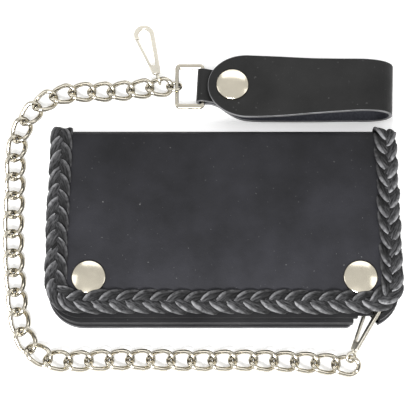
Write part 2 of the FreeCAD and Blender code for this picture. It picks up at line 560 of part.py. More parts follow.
# --- the whole object ------------------------------------------------------------------------------
def main():
    os.makedirs("parts", exist_ok=True)
    joints = chain_joints()
    link = curb_link()
    for i in range(LINK_COUNT):
        save("chain_link_%02d" % (i + 1), place_link(link, joints[i], joints[i + 1]))

    wallet_eye = rail_point(joints[1], joints[0], WALLET_EYE_ALONG)
    grommet_z = DIVIDER_UNDER_Z + LINER / 2
    lift = math.degrees(math.asin((grommet_z - wallet_eye.z) / CLIP_REACH))
    wallet_clip_at = clip_placement(wallet_eye, WALLET_CLIP_HEADING, lift, WALLET_CLIP_ROLL)
    grommet = wallet_clip_at.multVec(V(0, CLIP_HOOK_AT, 0))
    key_eye = rail_point(joints[-2], joints[-1], 0.0)
    key_clip_at = clip_placement(key_eye, KEY_CLIP_HEADING, 0, 0)

    save("back_panel", back_panel())
    save("spine_fold", spine_fold())
    save("front_flap", front_flap())
    save("flap_braid", flap_braid())
    save("pocket_gusset", pocket_gusset(grommet))
    save("bill_divider", bill_divider(grommet))
    slots_z = DIVIDER_UNDER_Z + LINER
    save("card_slots_upper", card_slots("upper", slots_z))
    save("card_slots_lower", card_slots("lower", slots_z + SLOT_LEATHER))
    front_z = slots_z + 2 * SLOT_LEATHER
    save("pocket_front", pocket_front(front_z))
    save("chain_grommet", chain_grommet(grommet))
    save("snap_caps", at_flap_snaps(snap_cap(LEATHER), FLAP_UNDER_Z + LEATHER))
    save("snap_sockets", at_flap_snaps(snap_socket(), FLAP_UNDER_Z))
    save("snap_studs", at_flap_snaps(snap_stud(FRONT_POCKET_LEATHER), front_z + FRONT_POCKET_LEATHER))

    for name, at in (("wallet_clip", wallet_clip_at), ("key_clip", key_clip_at)):
        save(name, placed(clip_body(), at))
        save(name + "_gate", placed(clip_gate(), at))

    # the end ring holds the last link's end wire on its left and the strap ring's left bar on its right
    last = joints[-1]
    wire_past_joint = LINK_LENGTH / 2 - LINK_WIRE / 2 - LINK_PITCH / 2
    ring_centre = last + V(wire_past_joint + END_RING_TO_LINK, 0, 0)
    save("end_ring", end_ring(ring_centre))
    bar = ring_centre + V(END_RING_TO_BAR + RING_LENGTH - RING_LEFT_BAR / 2 - RING_RIGHT_BAR / 2, 0, 0)
    save("strap_ring", strap_ring().translated(bar))

    strap_at = FreeCAD.Placement(V(bar.x, bar.y, 0), FreeCAD.Rotation(Z_UP, STRAP_YAW))
    save("strap_lower", placed(strap_lower(CHAIN_Z), strap_at))
    save("strap_upper", placed(strap_upper(), strap_at))
    snap_x, cap_z = STRAP_SNAP_AT, STRAP_SNAP_UNDER_Z + STRAP_LEATHER
    save("strap_snap_cap", placed(snap_cap(STRAP_LEATHER).translated(V(snap_x, 0, cap_z)), strap_at))
    save("strap_snap_socket", placed(snap_socket().translated(V(snap_x, 0, STRAP_SNAP_UNDER_Z)), strap_at))
    stud_leather = STRAP_LEATHER + TAB_LEATHER
    save("strap_snap_stud", placed(snap_stud(stud_leather).translated(V(snap_x, 0, stud_leather)), strap_at))


main()
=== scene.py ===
"""The looks of the chain wallet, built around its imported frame.

Lengths are in millimetres, and become metres where a mesh, a light or a camera is made. x runs along the
wallet's fold, y from its free edge to the fold, and z up from the table. Leather pieces are first laid out
flat, as (s, v): s runs along the leather's side view and v across it. Then they are bent onto that side view.
"""
import math
import random

import bmesh
import bpy
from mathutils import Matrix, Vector
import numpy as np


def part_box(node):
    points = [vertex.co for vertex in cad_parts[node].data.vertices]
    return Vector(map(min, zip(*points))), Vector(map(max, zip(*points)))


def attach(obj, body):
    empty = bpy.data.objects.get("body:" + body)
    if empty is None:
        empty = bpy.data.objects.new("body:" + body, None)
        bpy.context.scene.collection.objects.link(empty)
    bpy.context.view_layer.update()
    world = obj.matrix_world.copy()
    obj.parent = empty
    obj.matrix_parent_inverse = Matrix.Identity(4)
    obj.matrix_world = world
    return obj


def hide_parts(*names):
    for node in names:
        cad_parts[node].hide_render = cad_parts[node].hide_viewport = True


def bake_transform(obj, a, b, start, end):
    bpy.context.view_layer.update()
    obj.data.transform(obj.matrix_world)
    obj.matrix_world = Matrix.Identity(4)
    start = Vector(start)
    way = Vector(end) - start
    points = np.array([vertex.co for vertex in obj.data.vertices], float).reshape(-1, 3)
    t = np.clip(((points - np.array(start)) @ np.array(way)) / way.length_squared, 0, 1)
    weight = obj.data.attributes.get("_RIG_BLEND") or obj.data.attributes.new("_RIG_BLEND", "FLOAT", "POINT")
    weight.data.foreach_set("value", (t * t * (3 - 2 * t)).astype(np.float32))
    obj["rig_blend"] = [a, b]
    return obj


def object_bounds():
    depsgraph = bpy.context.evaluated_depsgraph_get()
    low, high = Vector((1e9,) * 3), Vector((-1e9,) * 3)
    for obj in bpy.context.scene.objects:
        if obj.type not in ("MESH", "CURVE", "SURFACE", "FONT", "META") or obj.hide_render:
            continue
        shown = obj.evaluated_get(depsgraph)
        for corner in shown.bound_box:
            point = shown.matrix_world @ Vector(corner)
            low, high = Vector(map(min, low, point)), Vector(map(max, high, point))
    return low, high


MM = 0.001
MERGE_M = 1e-7                          # points nearer than this are one point
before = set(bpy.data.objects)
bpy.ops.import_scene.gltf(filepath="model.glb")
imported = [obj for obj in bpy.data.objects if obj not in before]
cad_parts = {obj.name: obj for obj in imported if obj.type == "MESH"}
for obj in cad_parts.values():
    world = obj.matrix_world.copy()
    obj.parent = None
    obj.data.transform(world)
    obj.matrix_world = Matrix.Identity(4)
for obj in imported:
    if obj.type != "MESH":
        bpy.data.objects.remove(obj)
cad_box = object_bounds()


def box_mm(node):
    low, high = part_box(node)
    return Vector(low) / MM, Vector(high) / MM


def point_m(x, y, z):
    return (x * MM, y * MM, z * MM)


# --- driving sizes ---------------------------------------------------------------------------------
FLAP_LOW, FLAP_HIGH = box_mm("front_flap")
SPINE_LOW, SPINE_HIGH = box_mm("spine_fold")
BACK_LOW, BACK_HIGH = box_mm("back_panel")
BRAID_LOW, BRAID_HIGH = box_mm("flap_braid")
RING_LOW, RING_HIGH = box_mm("strap_ring")
LEATHER = BACK_HIGH.z - BACK_LOW.z
SPINE_Y = (SPINE_LOW.y + SPINE_HIGH.y) / 2
SPINE_MID_Z = (SPINE_LOW.z + SPINE_HIGH.z) / 2
FLAP_Z = FLAP_HIGH.z - LEATHER / 2      # middle of the flap's leather
BACK_Z = BACK_HIGH.z - LEATHER / 2
FOLD_R = 4.6                            # of the leather's middle, at both folds of the spine
FOLD_Y = SPINE_Y - FOLD_R               # where the flat leather ends and the fold begins
FLAP_CORNER_R = 13.6
BACK_CORNER_R = 19.0
SNAPS = ((-67.2, -29.8), (67.8, -29.8))
CAP_R = 8.5
COVER_RIM = 0.7                         # rounding of the cover's cut edges
FLAP_DOME = 1.3                         # how far the flap swells in its middle
DOME_HALF = (79.0, 40.0)                # half the swollen area's width and depth
DOME_CENTRE_Y = 3.0
DOME_PINCH_R = 13.0                     # of the flat area round each snap
CLIP_NOTCH_X = (64.6, 77.0)             # where the chain's clip comes out of the back's lower edge
CLIP_NOTCH_Y = -45.6
NOTCH_CORNER_R = 3.5
BACK_NARROWS_AT = 25.0                  # from here the back narrows to the spine's width

BRAID_INSET = 5.5                       # the braid's middle line, in from the wallet's outer edge
BRAID_CORNER_R = 10.5
BRAID_MID_Z = 17.6
BRAID_TAPER = 0.8                       # the braid is this much narrower each side at the fold
LEAF_PITCH = 8.4
LACE_HALF_WIDTH = 3.05
LACE_HALF_THICKNESS = 1.0
LACE_JITTER = (0.5, 0.3, 0.2)           # how unevenly the stitches lie: forward, outward and up
LACE_SWELL = 0.09                       # how unevenly wide they are, as a share of their width
LACE_LEAN = (0.6, 1.4)                  # least and most of a stitch's lean, as a share of LACE_TILT
LACE_CREASE = 0.26                      # height of the creases along a lace
CREASE_TURNS = 5.2                      # radians of the creases' wave in half a lace's width
LACE_TILT = math.radians(16.0)          # each stitch leans over the next one
CORE_SIDES = (-4.2, 1.8)                # flat part of the edge that the laces wrap, across the braid
CAP_DIP = 2.4                           # the braid is pressed down by this much under a snap cap
CAP_DIP_WIDTH = 2.6                     # over this distance beyond the cap
CORE_DROP = 1.7                         # its middle, below the braid's middle line

RIM_STEPS = 4
SQUARE_END = 0.01                       # a leather keeps a square edge up to this s, where it meets another

STRAP_YAW = math.radians(-3.0)
STRAP_RIM = 0.55                        # rounding of the strap's cut edges
STRAP_LEATHER = 1.8
TAB_LEATHER = 1.5
RING_RIGHT_BAR = 2.0
CHAIN_Z = (RING_LOW.z + RING_HIGH.z) / 2
STRAP_BAR = Vector((RING_HIGH.x - RING_RIGHT_BAR / 2, (RING_LOW.y + RING_HIGH.y) / 2, 0))
STRAP_FOLD = (98.6, 9.3)
STRAP_HALF_WIDTH = 17.4
STRAP_FOLD_HALF_WIDTH = 13.8
STRAP_TIP = 2.6
STRAP_TIP_LENGTH = 21.0
STRAP_SNAP_AT = 15.6
STRAP_SNAP_Z = 6.0 + STRAP_LEATHER / 2  # middle of the upper leaf at the snap
STRAP_LIE_Z = STRAP_LEATHER / 2         # middle of the lower leaf on the table
TAB_HALF_WIDTH = 9.2
TAB_TOP_Z = STRAP_LEATHER + TAB_LEATHER / 2
TAB_LOOP_R = 2.45                       # of the tab's middle, round the ring's bar


# --- node materials --------------------------------------------------------------------------------
def add(tree, kind, inputs=None, **settings):
    """A node with its settings and inputs; an input is a value or another node's output socket."""
    node = tree.nodes.new(kind)
    for key, value in settings.items():
        setattr(node, key, value)
    for key, value in (inputs or {}).items():
        if isinstance(value, bpy.types.NodeSocket):
            tree.links.new(value, node.inputs[key])
        else:
            node.inputs[key].default_value = value
    return node


def material(name, **sockets):
    made = bpy.data.materials.new(name)
    made.use_nodes = True
    tree = made.node_tree
    shader = tree.nodes["Principled BSDF"]
    for key, value in sockets.items():
        shader.inputs[key.replace("_", " ")].default_value = value
    return made, tree, shader


def place_coordinates(tree):
    return add(tree, "ShaderNodeTexCoord").outputs["Object"]


def noise(tree, at, scale, detail=3.0, roughness=0.5):
    return add(tree, "ShaderNodeTexNoise", {"Vector": at, "Scale": scale, "Detail": detail,
                                            "Roughness": roughness}).outputs["Fac"]


def cells(tree, at, scale, feature="F1"):
    node = add(tree, "ShaderNodeTexVoronoi", {"Vector": at, "Scale": scale}, feature=feature)
    return node.outputs["Distance"]


def remap(tree, value, low, high, to_low, to_high):
    return add(tree, "ShaderNodeMapRange", {"Value": value, "From Min": low, "From Max": high,
                                            "To Min": to_low, "To Max": to_high}).outputs["Result"]


def ramp(tree, value, *stops):
    node = add(tree, "ShaderNodeValToRGB", {"Fac": value})
    elements = node.color_ramp.elements
    while len(elements) < len(stops):
        elements.new(0.5)
    for element, (position, colour) in zip(elements, stops):
        element.position = position
        element.color = (*colour, 1.0)
    return node.outputs["Color"]


def bump(tree, height, depth, normal=None):
    """Relief: height 0 to 1 stands for depth millimetres."""
    inputs = {"Height": height, "Distance": depth * MM, "Strength": 1.0}
    if normal is not None:
        inputs["Normal"] = normal
    return add(tree, "ShaderNodeBump", inputs).outputs["Normal"]


def mix(tree, factor, a, b):
    node = add(tree, "ShaderNodeMix", data_type="RGBA")
    for index, value in ((0, factor), (6, a), (7, b)):
        if isinstance(value, bpy.types.NodeSocket):
            tree.links.new(value, node.inputs[index])
        else:
            node.inputs[index].default_value = value
    return node.outputs[2]


def times(tree, a, b):
    node = add(tree, "ShaderNodeMath", operation="MULTIPLY")
    for index, value in ((0, a), (1, b)):
        if isinstance(value, bpy.types.NodeSocket):
            tree.links.new(value, node.inputs[index])
        else:
            node.inputs[index].default_value = value
    return node.outputs[0]


def leather_material(name, dark, light, worn, rough, grain_mm=0.75, grain_depth=0.05, fold_painted_shade=1.0):
    """Dyed leather: fine pebbled grain, slow mottling, faint creases and a few pale specks.

    The last argument is the share of its tone that is left at the wallet's fold; this darkening towards the
    fold is painted shade.
    """
    made, tree, shader = material(name, Specular_IOR_Level=0.2)
    at = place_coordinates(tree)
    mottle = noise(tree, at, 38.0, 4.0, 0.6)
    colour = ramp(tree, mottle, (0.3, dark), (0.7, light))
    speck = ramp(tree, noise(tree, at, 700.0, 2.0), (0.72, (0, 0, 0)), (0.8, (1, 1, 1)))
    colour = mix(tree, speck, colour, (*worn, 1.0))
    to_fold = add(tree, "ShaderNodeSeparateXYZ", {"Vector": at}).outputs["Y"]
    # Painted shade: darker from y = -30 mm towards the fold at y = 40 mm.
    shade = remap(tree, to_fold, -30 * MM, 40 * MM, 1.0, fold_painted_shade)
    colour = mix(tree, shade, (0, 0, 0, 1.0), colour)
    tree.links.new(colour, shader.inputs["Base Color"])
    grain = cells(tree, at, 1000.0 / grain_mm)
    pores = noise(tree, at, 2600.0, 2.0)
    creases = ramp(tree, cells(tree, at, 160.0, "DISTANCE_TO_EDGE"), (0.0, (0, 0, 0)), (0.12, (1, 1, 1)))
    tree.links.new(remap(tree, noise(tree, at, 120.0, 5.0), 0.3, 0.7, rough - 0.07, rough + 0.07),
                   shader.inputs["Roughness"])
    normal = bump(tree, creases, 0.02)
    normal = bump(tree, noise(tree, at, 60.0, 3.0), 0.25, normal)
    normal = bump(tree, pores, 0.02, normal)
    tree.links.new(bump(tree, grain, grain_depth, normal), shader.inputs["Normal"])
    return made


def lace_material(name):
    """The braid's lace: creased along its length, with painted shade in the creases' hollows and where it
    starts under the stitch before it, and paler along its raised side, partly from wear and partly a painted
    highlight.

    The sweep leaves four attributes: millimetres across and along the lace, rim from -1 on its low side to 1
    on its raised side, and reach from 0 at its start to 1 at its end.
    """
    made, tree, shader = material(name, Specular_IOR_Level=0.3)
    at = place_coordinates(tree)
    across, along, rim, reach = (add(tree, "ShaderNodeAttribute", attribute_name="lace_" + key).outputs["Fac"]
                                 for key in ("across", "along", "rim", "reach"))
    on_lace = add(tree, "ShaderNodeCombineXYZ",
                  {"X": times(tree, across, 1.25), "Y": times(tree, along, 0.24)})
    creases = noise(tree, on_lace.outputs["Vector"], 1.0, 4.0, 0.65)
    # Darker in the creases' hollows: painted shade.
    colour = ramp(tree, creases, (0.40, (0.003, 0.003, 0.004)), (0.62, (0.080, 0.080, 0.084)))
    # Painted shade: dark near the lace's start and along its low side, where it lies under the stitch before
    # it.
    lit = times(tree, remap(tree, reach, 0.4, 0.8, 0.2, 1.0), remap(tree, rim, -0.95, -0.1, 0.05, 1.0))
    colour = mix(tree, lit, (0.002, 0.002, 0.002, 1.0), colour)
    # Paler along the raised side: partly worn, partly a painted highlight.
    patchy = remap(tree, noise(tree, at, 420.0, 3.0), 0.35, 0.6, 0.15, 0.9)
    rubbed_and_highlight = times(tree, times(tree, remap(tree, rim, 0.45, 0.9, 0.0, 1.0), patchy), lit)
    colour = mix(tree, rubbed_and_highlight, colour, (0.33, 0.33, 0.34, 1.0))
    tree.links.new(colour, shader.inputs["Base Color"])
    polish = times(tree, lit, remap(tree, creases, 0.40, 0.60, 0.4, 1.0))
    tree.links.new(remap(tree, polish, 0.0, 1.0, 0.95, 0.28), shader.inputs["Roughness"])
    normal = bump(tree, creases, 1.0)
    normal = bump(tree, noise(tree, at, 480.0, 3.0, 0.6), 0.2, normal)
    tree.links.new(bump(tree, cells(tree, at, 1700.0), 0.03, normal), shader.inputs["Normal"])
    return made


def flesh_material(name):
    """The napped inner side of the leather."""
    made, tree, shader = material(name, Specular_IOR_Level=0.25)
    at = place_coordinates(tree)
    fibres = noise(tree, at, 900.0, 6.0, 0.75)
    colour = ramp(tree, fibres, (0.3, (0.012, 0.013, 0.018)), (0.7, (0.040, 0.041, 0.050)))
    tree.links.new(colour, shader.inputs["Base Color"])
    tree.links.new(remap(tree, fibres, 0.3, 0.7, 0.82, 0.98), shader.inputs["Roughness"])
    tree.links.new(bump(tree, fibres, 0.15), shader.inputs["Normal"])
    return made


def edge_material(name, pale):
    """A cut edge, burnished in layers along the leather."""
    made, tree, shader = material(name, Specular_IOR_Level=0.45)
    at = place_coordinates(tree)
    layered = add(tree, "ShaderNodeMapping", {"Vector": at, "Scale": (60.0, 60.0, 2600.0)}).outputs["Vector"]
    layers = noise(tree, layered, 1.0, 3.0)
    dark = tuple(part * 0.35 for part in pale)
    tree.links.new(ramp(tree, layers, (0.35, dark), (0.65, pale)), shader.inputs["Base Color"])
    tree.links.new(remap(tree, layers, 0.3, 0.7, 0.38, 0.6), shader.inputs["Roughness"])
    normal = bump(tree, layers, 0.08)
    tree.links.new(bump(tree, noise(tree, at, 900.0, 3.0), 0.05, normal), shader.inputs["Normal"])
    return made


def nickel_material(name, tint, rough, wear, painted_side_reflection):
    """Plated metal: hairline scratches, small dents and slow changes of polish.

    The last argument is the share of its tone that is left on sides that stand upright when it lies on the
    table; this darker tone is a painted dark reflection.
    """
    made, tree, shader = material(name, Metallic=1.0, Specular_Tint=(0.12, 0.11, 0.10, 1.0))
    at = place_coordinates(tree)
    cloud = noise(tree, at, 60.0, 4.0, 0.6)
    worn = tuple(part * 0.86 for part in tint)
    facing = add(tree, "ShaderNodeSeparateXYZ",
                 {"Vector": add(tree, "ShaderNodeTexCoord").outputs["Normal"]}).outputs["Z"]
    turned = add(tree, "ShaderNodeMath", {0: facing}, operation="ABSOLUTE").outputs[0]
    # Sides that stand upright at rest get a darker tone: a painted dark reflection.
    up_facing = remap(tree, turned, 0.12, 0.5, 0.0, 1.0)
    plating = ramp(tree, cloud, (0.3, worn), (0.6, tint))
    dark_side_reflection = (*(part * painted_side_reflection for part in tint), 1.0)
    tree.links.new(mix(tree, up_facing, dark_side_reflection, plating), shader.inputs["Base Color"])
    scratch_at = add(tree, "ShaderNodeMapping", {"Vector": at, "Rotation": (0.3, 0.2, 0.6),
                                                 "Scale": (260.0, 5200.0, 900.0)}).outputs["Vector"]
    scratches = noise(tree, scratch_at, 1.0, 3.0, 0.7)
    tree.links.new(remap(tree, scratches, 0.35, 0.75, rough, rough + 0.1), shader.inputs["Roughness"])
    normal = bump(tree, noise(tree, at, 200.0, 2.0), wear)
    tree.links.new(bump(tree, scratches, 0.003, normal), shader.inputs["Normal"])
    return made


# For the cover and the strap, the last argument paints shade, darker towards larger y.
COVER = leather_material("cover_grain", (0.010, 0.010, 0.012), (0.023, 0.023, 0.028), (0.16, 0.16, 0.16),
                         rough=0.55, fold_painted_shade=0.55)
LINING = leather_material("lining_grain", (0.008, 0.008, 0.009), (0.018, 0.018, 0.019), (0.08, 0.08, 0.08),
                          rough=0.6, grain_mm=0.9, grain_depth=0.04)
STRAP = leather_material("strap_grain", (0.012, 0.012, 0.012), (0.026, 0.026, 0.026), (0.20, 0.20, 0.20),
                         rough=0.52, grain_mm=0.6, grain_depth=0.06, fold_painted_shade=0.55)
LACE = lace_material("braid_lace")
FLESH = flesh_material("flesh_side")
EDGE = edge_material("cut_edge", (0.105, 0.105, 0.110))
STRAP_EDGE = edge_material("strap_edge", (0.17, 0.17, 0.175))
SNAP_NICKEL = nickel_material("snap_nickel", (0.66, 0.61, 0.50), rough=0.14, wear=0.006, painted_side_reflection=0.8)
CHAIN_NICKEL = nickel_material("chain_nickel", (0.60, 0.56, 0.47), rough=0.09, wear=0.02, painted_side_reflection=0.22)
CLIP_NICKEL = nickel_material("clip_nickel", (0.78, 0.74, 0.64), rough=0.26, wear=0.01, painted_side_reflection=0.75)


# --- mesh helpers ----------------------------------------------------------------------------------
def finish_mesh(name, vertices, faces, materials, indices=None, attributes=None):
    """A new object from points in millimetres, with coinciding points merged."""
    mesh = bpy.data.meshes.new(name)
    mesh.from_pydata([(x * MM, y * MM, z * MM) for x, y, z in vertices], [], faces)
    for each in materials:
        mesh.materials.append(each)
    if indices:
        mesh.polygons.foreach_set("material_index", indices)
    mesh.polygons.foreach_set("use_smooth", [True] * len(mesh.polygons))
    for key, values in (attributes or {}).items():
        mesh.attributes.new(key, "FLOAT", "POINT").data.foreach_set("value", values)
    work = bmesh.new()
    work.from_mesh(mesh)
    bmesh.ops.remove_doubles(work, verts=work.verts, dist=MERGE_M)
    bmesh.ops.dissolve_degenerate(work, edges=work.edges, dist=MERGE_M / 10)
    bmesh.ops.recalc_face_normals(work, faces=work.faces)
    work.to_mesh(mesh)
    work.free()
    made = bpy.data.objects.new(name, mesh)
    bpy.context.scene.collection.objects.link(made)
    return made


def spline(points, steps):
    """A smooth curve through points of any dimension, steps samples to each stretch."""
    ends = [tuple(2 * a - b for a, b in zip(points[0], points[1]))]
    tail = [tuple(2 * a - b for a, b in zip(points[-1], points[-2]))]
    p = ends + [tuple(point) for point in points] + tail
    curve = []
    for i in range(1, len(p) - 2):
        for step in range(steps):
            t = step / steps
            curve.append(tuple(0.5 * ((2 * b) + (c - a) * t + (2 * a - 5 * b + 4 * c - d) * t * t
                                      + (3 * b - a - 3 * c + d) * t ** 3)
                               for a, b, c, d in zip(p[i - 1], p[i], p[i + 1], p[i + 2])))
    return curve + [tuple(points[-1])]


class SideView:
    """A leather piece's middle line seen from the side, walked by distance."""

    def __init__(self, points):
        self.points = [Vector(point) for point in points]
        self.at = [0.0]
        for a, b in zip(self.points, self.points[1:]):
            self.at.append(self.at[-1] + (b - a).length)
        self.length = self.at[-1]

    def __call__(self, s):
        """The point at s, and the direction square to the line, to the left of the walk."""
        s = min(max(s, 0.0), self.length)
        low, high = 0, len(self.at) - 1
        while high - low > 1:
            middle = (low + high) // 2
            low, high = (middle, high) if self.at[middle] <= s else (low, middle)
        share = (s - self.at[low]) / (self.at[high] - self.at[low])
        along = [(self.points[min(i + 1, len(self.points) - 1)] - self.points[max(i - 1, 0)]).normalized()
                 for i in (low, high)]
        direction = along[0].lerp(along[1], share).normalized()
        return self.points[low].lerp(self.points[high], share), Vector((-direction.y, direction.x))


def arc_points(centre, radius, start, end, steps):
    return [(centre[0] + radius * math.cos(math.radians(start + (end - start) * i / steps)),
             centre[1] + radius * math.sin(math.radians(start + (end - start) * i / steps)))
            for i in range(steps + 1)]


def evenly(outline, spacing):
    """The closed outline with points about spacing apart; its corners stay."""
    points = []
    for a, b in zip(outline, outline[1:] + outline[:1]):
        count = max(1, round(math.dist(a, b) / spacing))
        points += [(a[0] + (b[0] - a[0]) * i / count, a[1] + (b[1] - a[1]) * i / count) for i in range(count)]
    return points


def leather_sheet(name, outline, thickness, rim, core, place, materials, loops):
    """A leather piece, bent by place from its flat outline, which is filled by loops shrinking to core.

    rim rounds both cut edges. The outline runs counter-clockwise in (s, v). Materials: upper side, under side
    and cut edge.
    """
    count = len(outline)
    inward = []
    for i, point in enumerate(outline):
        before, after = outline[i - 1], outline[(i + 1) % count]
        along = Vector((after[0] - before[0], after[1] - before[1])).normalized()
        inward.append(Vector((-along.y, along.x)))
    half = thickness / 2
    rings = []                          # inset from the outline, height, and share of the way to the core
    for step in range(RIM_STEPS + 1):
        angle = math.pi / 2 * step / RIM_STEPS
        rings.append((rim * (1 - math.cos(angle)), half - rim + rim * math.sin(angle), 0.0))
    for step in range(1, loops + 1):
        rings.append((rim, half, step / loops))
    vertices, faces, indices = [], [], []
    for side in (1, -1):
        for inset, height, share in rings:
            for point, normal in zip(outline, inward):
                square = point[0] < SQUARE_END
                flat = Vector(point) + normal * (0.0 if square else inset)
                flat = flat.lerp(Vector(core(point)), share)
                vertices.append(place(flat.x, flat.y, side * (half if square else height)))
    layers = len(rings)
    for side in (0, 1):
        for ring in range(layers - 1):
            for i in range(count):
                j = (i + 1) % count
                a = (side * layers + ring) * count
                b = a + count
                faces.append((a + i, a + j, b + j, b + i))
                indices.append(2 if ring < RIM_STEPS - 1 else side)
    for i in range(count):
        j = (i + 1) % count
        faces.append((i, j, layers * count + j, layers * count + i))
        indices.append(2)
    return finish_mesh(name, vertices, faces, materials, indices)


def oval(count=20, fullness=0.5):
    """A flat lace's section on a unit circle, fuller than an ellipse."""
    points = []
    for i in range(count):
        c, s = math.cos(2 * math.pi * i / count), math.sin(2 * math.pi * i / count)
        points.append((math.copysign(abs(c) ** fullness, c), math.copysign(abs(s) ** fullness, s)))
    return points


class Laces:
    """Swept laces gathered into one mesh, with the place of each point on its lace as attributes."""

    def __init__(self):
        self.vertices, self.faces = [], []
        self.attributes = {"lace_rim": [], "lace_reach": [], "lace_across": [], "lace_along": []}

    def sweep(self, stations, section, along_start, side):
        """stations: (centre, across, up, half width, half thickness) in order along the lace.

        side is 1 or -1, for the side across the lace that is raised. Long creases cross the lace's upper
        side at a slant, at a place that goes with along_start.
        """
        base, count, along = len(self.vertices), len(section), along_start
        for number, (centre, across, up, half_width, half_thickness) in enumerate(stations):
            if number:
                along += (centre - stations[number - 1][0]).length
            for a, b in section:
                crease = LACE_CREASE * max(0.0, b) * math.sin(CREASE_TURNS * a + along_start + 0.35 * along)
                self.vertices.append(centre + across * a * half_width + up * (b * half_thickness + crease))
                self.attributes["lace_rim"].append(side * a if b > -0.3 else 0.0)
                self.attributes["lace_reach"].append(number / (len(stations) - 1))
                self.attributes["lace_across"].append(a * half_width)
                self.attributes["lace_along"].append(along)
        for ring in range(len(stations) - 1):
            low, high = base + ring * count, base + (ring + 1) * count
            for i in range(count):
                j = (i + 1) % count
                self.faces.append((low + i, low + j, high + j, high + i))
        last = base + (len(stations) - 1) * count
        self.faces.append(tuple(base + i for i in range(count))[::-1])
        self.faces.append(tuple(last + i for i in range(count)))

    def build(self, name, materials):
        return finish_mesh(name, self.vertices, self.faces, materials, attributes=self.attributes)


# --- cover: one leather from the free edge of the flap, over the spine, to the back's lower edge ----
def fold_profile(upper):
    """From the middle of the spine up to the flap, or down to the back, as (y, z)."""
    flat_z, low_y = (FLAP_Z, FLAP_LOW.y) if upper else (BACK_Z, BACK_LOW.y)
    centre = (FOLD_Y, flat_z - FOLD_R if upper else flat_z + FOLD_R)
    bend = arc_points(centre, FOLD_R, 0, 90 if upper else -90, 20)
    return SideView([(SPINE_Y, SPINE_MID_Z)] + bend + [(low_y, flat_z)])


def rounded_end(length, half_width, radius):
    """The flat outline of a cover: square at the spine, round corners at the far end."""
    points = [(0.0, -half_width), (length - radius, -half_width)]
    points += arc_points((length - radius, -half_width + radius), radius, -90, 0, 12)[1:]
    points += arc_points((length - radius, half_width - radius), radius, 0, 90, 12)
    return points + [(0.0, half_width)]


def flap_dome(x, y):
    """The flap's leather swells a little between its braided edges, and is pinched flat at the snaps."""
    across = max(0.0, 1 - (abs(x) / DOME_HALF[0]) ** 4)
    along = max(0.0, 1 - (abs(y - DOME_CENTRE_Y) / DOME_HALF[1]) ** 4)
    rise = FLAP_DOME * across * along
    for sx, sy in SNAPS:
        rise *= 1 - math.exp(-((x - sx) ** 2 + (y - sy) ** 2) / (2 * DOME_PINCH_R ** 2))
    return rise


def smooth(share):
    """From 0 to 1 with a soft start and end, and level outside that."""
    share = min(max(share, 0.0), 1.0)
    return share * share * (3 - 2 * share)


def notched(outline, top, length):
    """The outline with the clip's notch cut into its far end, up to s = top, with one corner rounded."""
    low, high = CLIP_NOTCH_X
    before = [point for point in outline if point[0] <= top or point[1] <= low]
    split = next(i for i, point in enumerate(before) if point == (length, BACK_CORNER_R - BACK_HIGH.x)) + 1
    beyond = [point for point in outline if point[0] > top and point[1] > high]
    turned = arc_points((length - NOTCH_CORNER_R, low - NOTCH_CORNER_R), NOTCH_CORNER_R, 0, 90, 6)
    return before[:split] + turned + [(top, low), (top, high)] + beyond + before[split:]


def cover_piece(name, upper):
    """The flap and the upper half of the spine, or the back and the lower half."""
    side = fold_profile(upper)
    half_width = FLAP_HIGH.x if upper else BACK_HIGH.x
    outline = rounded_end(side.length, half_width, FLAP_CORNER_R if upper else BACK_CORNER_R)
    if not upper:
        outline = notched(outline, side.length - (CLIP_NOTCH_Y - BACK_LOW.y), side.length)
    middle = side.length / 2

    def core(point):
        reach = half_width - middle
        return middle, min(max(point[1], -reach), reach)

    def place(s, v, height):
        centre, normal = side(s)
        outward = -normal if upper else normal
        at = centre + outward * height
        if upper:
            at.y += flap_dome(v, at.x) if at.x < FOLD_Y else 0.0
        else:
            near_fold = smooth((at.x - BACK_NARROWS_AT) / (FOLD_Y - BACK_NARROWS_AT))
            v *= 1 - (1 - FLAP_HIGH.x / BACK_HIGH.x) * near_fold
        return v, at.x, at.y

    return leather_sheet(name, evenly(outline, 1.6), LEATHER, COVER_RIM, core, place,
                         (COVER, LINING, EDGE), 26)


cover_flap = cover_piece("cover_flap", True)
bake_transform(cover_flap, "spine", "flap", start=point_m(0, SPINE_Y, 9.0), end=point_m(0, 38.0, FLAP_HIGH.z))
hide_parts("front_flap")

cover_back = cover_piece("cover_back", False)
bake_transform(cover_back, "wallet", "spine", start=point_m(0, 38.0, BACK_Z), end=point_m(0, SPINE_Y, 8.5))
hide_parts("back_panel", "spine_fold")


